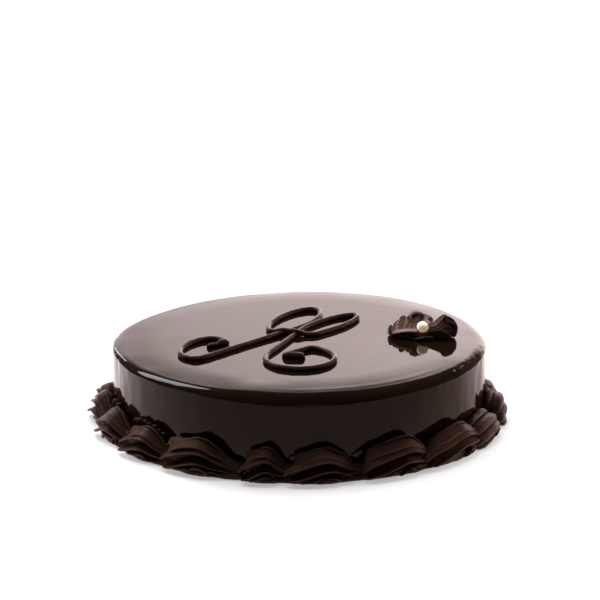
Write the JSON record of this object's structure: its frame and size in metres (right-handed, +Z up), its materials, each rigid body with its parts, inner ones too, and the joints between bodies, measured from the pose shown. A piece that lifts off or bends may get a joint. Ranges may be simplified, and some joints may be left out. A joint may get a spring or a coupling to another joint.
{
  "type": "chocolate mousse cake",
  "caption": "Round mousse cake under dark mirror glaze, ringed with piped shells, with a piped scroll, a ruffled rosette and a sugar pearl on top.",
  "frame": {"origin": "centre of the cake's flat base, on the surface it stands on", "axes": "+Z up, -Y towards the front as pictured, +X to the right"},
  "size_m": [0.2749, 0.275, 0.0677],
  "materials": {
    "mirror_glaze": "mirror glaze of dark chocolate, very glossy, poured over the whole cake",
    "piped_ganache": "piped dark ganache, satin, with sharp ribs",
    "scroll_chocolate": "piped dark chocolate strand, glossy",
    "rosette_chocolate": "ruffled dark ganache petals, satin",
    "sugar_pearl": "cream sugar pearl with a soft shine"
  },
  "bodies": {
    "root": {"cake_body": "mirror_glaze", "shell_01": "piped_ganache", "shell_02": "piped_ganache", "shell_03": "piped_ganache", "shell_04": "piped_ganache", "shell_05": "piped_ganache", "shell_06": "piped_ganache", "shell_07": "piped_ganache", "shell_08": "piped_ganache", "shell_09": "piped_ganache", "shell_10": "piped_ganache", "shell_11": "piped_ganache", "shell_12": "piped_ganache", "shell_13": "piped_ganache", "shell_14": "piped_ganache", "shell_15": "piped_ganache", "shell_16": "piped_ganache", "shell_17": "piped_ganache", "shell_18": "piped_ganache", "shell_19": "piped_ganache", "shell_20": "piped_ganache", "scroll": "scroll_chocolate", "rosette": "rosette_chocolate", "pearl": "sugar_pearl"}
  },
  "joints": []
}
